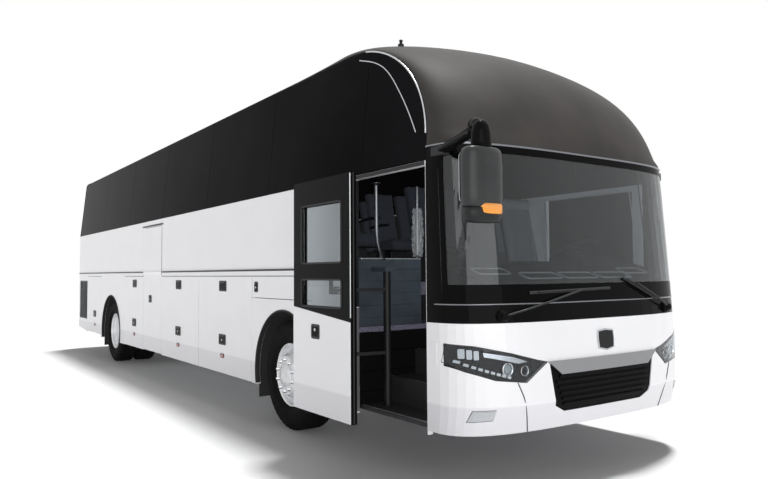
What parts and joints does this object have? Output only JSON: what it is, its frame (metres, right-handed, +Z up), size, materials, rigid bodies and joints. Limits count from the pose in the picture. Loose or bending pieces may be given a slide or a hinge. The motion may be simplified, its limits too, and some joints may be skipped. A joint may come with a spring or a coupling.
{
  "type": "touring coach",
  "caption": "High-deck touring coach with a hollow saloon, wide windscreen and dome, swinging entrance door, side flaps, steered front and twin rear wheels.",
  "frame": {"origin": "ground level under the middle of the bounding box", "axes": "-Y to the front, +Y to the tail, -X to the entrance side, +Z up"},
  "size_m": [3.304, 12.36, 3.6603],
  "materials": {
    "body_paint": "gloss white coach enamel",
    "black_satin": "satin black",
    "privacy_glass": "dark tinted, glossy",
    "clear_glass": "clear laminated",
    "dome_paint": "dark satin metallic grey",
    "white_plastic": "white moulded",
    "lamp_plastic": "clear lamp cover",
    "red_lamp_plastic": "red lamp cover",
    "black_plastic": "matte black",
    "bright_chrome": "polished",
    "floor_covering": "ribbed vinyl",
    "bay_aluminium": "chequered sheet",
    "chassis_steel": "chassis black",
    "black_rubber": "moulded",
    "wheel_steel": "silver white",
    "tyre_rubber": "worn rubber",
    "engine_iron": "cast",
    "cab_plastic": "grained",
    "seat_fabric": "woven",
    "partition_laminate": "grey blue laminate"
  },
  "bodies": {
    "coach": {"side_wall_right": "body_paint", "side_wall_left": "body_paint", "belt_rails": "black_satin", "hinge_rods": "black_satin", "window_frames": "black_satin", "side_glass": "privacy_glass", "roof_shell": "dome_paint", "roof_units": "white_plastic", "front_dome": "dome_paint", "front_panel": "body_paint", "front_lamps": "lamp_plastic", "front_grille": "black_plastic", "grille_bar": "bright_chrome", "windscreen": "clear_glass", "windscreen_surround": "black_satin", "rear_panel": "body_paint", "rear_cap": "dome_paint", "rear_window": "privacy_glass", "tail_lamps": "red_lamp_plastic", "floor_deck": "floor_covering", "luggage_bay": "bay_aluminium", "door_steps": "floor_covering", "underframe": "chassis_steel", "wheel_arches": "black_rubber", "mudflaps": "black_rubber", "front_axle": "chassis_steel", "rear_axle": "chassis_steel", "engine_block": "engine_iron", "dashboard": "cab_plastic", "steering_wheel": "cab_plastic", "driver_seat": "seat_fabric", "passenger_seats": "seat_fabric", "partitions": "partition_laminate", "louvres": "black_satin", "mirrors": "black_satin", "wipers": "black_satin"},
    "knuckle_l": {"knuckle_left": "chassis_steel"},
    "knuckle_r": {"knuckle_right": "chassis_steel"},
    "front_wheel_l": {"front_wheel_left": "wheel_steel", "front_tyre_left": "tyre_rubber"},
    "front_wheel_r": {"front_wheel_right": "wheel_steel", "front_tyre_right": "tyre_rubber"},
    "twin_wheels_l": {"rear_wheels_left": "wheel_steel", "rear_tyres_left": "tyre_rubber"},
    "twin_wheels_r": {"rear_wheels_right": "wheel_steel", "rear_tyres_right": "tyre_rubber"},
    "entrance_pillar": {"door_pillar": "black_satin"},
    "entrance_leaf": {"front_door": "body_paint", "front_door_glass": "clear_glass"},
    "middle_door": {"mid_door": "body_paint"},
    "fuel_door": {"fuel_flap": "body_paint"},
    "luggage_door_right_1": {"luggage_flap_right_1": "body_paint"},
    "luggage_door_right_2": {"luggage_flap_right_2": "body_paint"},
    "luggage_door_right_3": {"luggage_flap_right_3": "body_paint"},
    "luggage_door_left_1": {"luggage_flap_left_1": "body_paint"},
    "luggage_door_left_2": {"luggage_flap_left_2": "body_paint"},
    "luggage_door_left_3": {"luggage_flap_left_3": "body_paint"},
    "engine_door_right": {"engine_flap_right": "body_paint"},
    "engine_door_left": {"engine_flap_left": "body_paint"},
    "engine_cover": {"engine_lid": "body_paint"}
  },
  "joints": [
    {"name": "steer_l", "type": "hinge", "parent": "coach", "child": "knuckle_l", "pos_m": [0.96, -3.11, 0.522], "axis": [0, 0, 1], "range_deg": [-40, 40]},
    {"name": "front_spin_l", "type": "hinge", "parent": "knuckle_l", "child": "front_wheel_l", "pos_m": [1.076, -3.11, 0.522], "axis": [1, 0, 0], "continuous": true},
    {"name": "rear_spin_l", "type": "hinge", "parent": "coach", "child": "twin_wheels_l", "pos_m": [0.907, 3.43, 0.522], "axis": [1, 0, 0], "continuous": true},
    {"name": "steer_r", "type": "hinge", "parent": "coach", "child": "knuckle_r", "pos_m": [-0.96, -3.11, 0.522], "axis": [0, 0, 1], "range_deg": [-40, 40]},
    {"name": "front_spin_r", "type": "hinge", "parent": "knuckle_r", "child": "front_wheel_r", "pos_m": [-1.076, -3.11, 0.522], "axis": [1, 0, 0], "continuous": true},
    {"name": "rear_spin_r", "type": "hinge", "parent": "coach", "child": "twin_wheels_r", "pos_m": [-0.907, 3.43, 0.522], "axis": [1, 0, 0], "continuous": true},
    {"name": "entrance_pillar_turn", "type": "hinge", "parent": "coach", "child": "entrance_pillar", "pos_m": [-1.0473, -4.5037, 0.9], "axis": [0, 0, 1], "range_deg": [0, 82.75]},
    {"name": "entrance_leaf_turn", "type": "hinge", "parent": "entrance_pillar", "child": "entrance_leaf", "pos_m": [-1.48, -4.425, 0.9], "axis": [0, 0, 1], "range_deg": [-82.75, 0]},
    {"name": "middle_door_swing", "type": "hinge", "parent": "coach", "child": "middle_door", "pos_m": [-1.275, 0.628, 1.3], "axis": [0, 0, 1], "range_deg": [0, 80]},
    {"name": "fuel_door_swing", "type": "hinge", "parent": "coach", "child": "fuel_door", "pos_m": [-1.275, -3.03, 1.466], "axis": [0, 1, 0], "range_deg": [0, 100]},
    {"name": "luggage_right_1_swing", "type": "hinge", "parent": "coach", "child": "luggage_door_right_1", "pos_m": [-1.275, -1.6195, 1.466], "axis": [0, 1, 0], "range_deg": [0, 100]},
    {"name": "luggage_right_2_swing", "type": "hinge", "parent": "coach", "child": "luggage_door_right_2", "pos_m": [-1.275, -0.108, 1.466], "axis": [0, 1, 0], "range_deg": [0, 100]},
    {"name": "luggage_right_3_swing", "type": "hinge", "parent": "coach", "child": "luggage_door_right_3", "pos_m": [-1.275, 2.0045, 1.466], "axis": [0, 1, 0], "range_deg": [0, 100]},
    {"name": "engine_right_swing", "type": "hinge", "parent": "coach", "child": "engine_door_right", "pos_m": [-1.275, 4.685, 1.466], "axis": [0, 1, 0], "range_deg": [0, 100]},
    {"name": "luggage_left_1_swing", "type": "hinge", "parent": "coach", "child": "luggage_door_left_1", "pos_m": [1.275, -1.6195, 1.466], "axis": [0, -1, 0], "range_deg": [0, 100]},
    {"name": "luggage_left_2_swing", "type": "hinge", "parent": "coach", "child": "luggage_door_left_2", "pos_m": [1.275, -0.108, 1.466], "axis": [0, -1, 0], "range_deg": [0, 100]},
    {"name": "luggage_left_3_swing", "type": "hinge", "parent": "coach", "child": "luggage_door_left_3", "pos_m": [1.275, 1.572, 1.466], "axis": [0, -1, 0], "range_deg": [0, 100]},
    {"name": "engine_left_swing", "type": "hinge", "parent": "coach", "child": "engine_door_left", "pos_m": [1.275, 4.685, 1.466], "axis": [0, -1, 0], "range_deg": [0, 100]},
    {"name": "engine_cover_swing", "type": "hinge", "parent": "coach", "child": "engine_cover", "pos_m": [0, 6.175, 1.556], "axis": [1, 0, 0], "range_deg": [0, 70]}
  ],
  "couplings": [
    {"joint": "steer_r", "follows": "steer_l", "ratio": 1},
    {"joint": "entrance_leaf_turn", "follows": "entrance_pillar_turn", "ratio": -1}
  ]
}
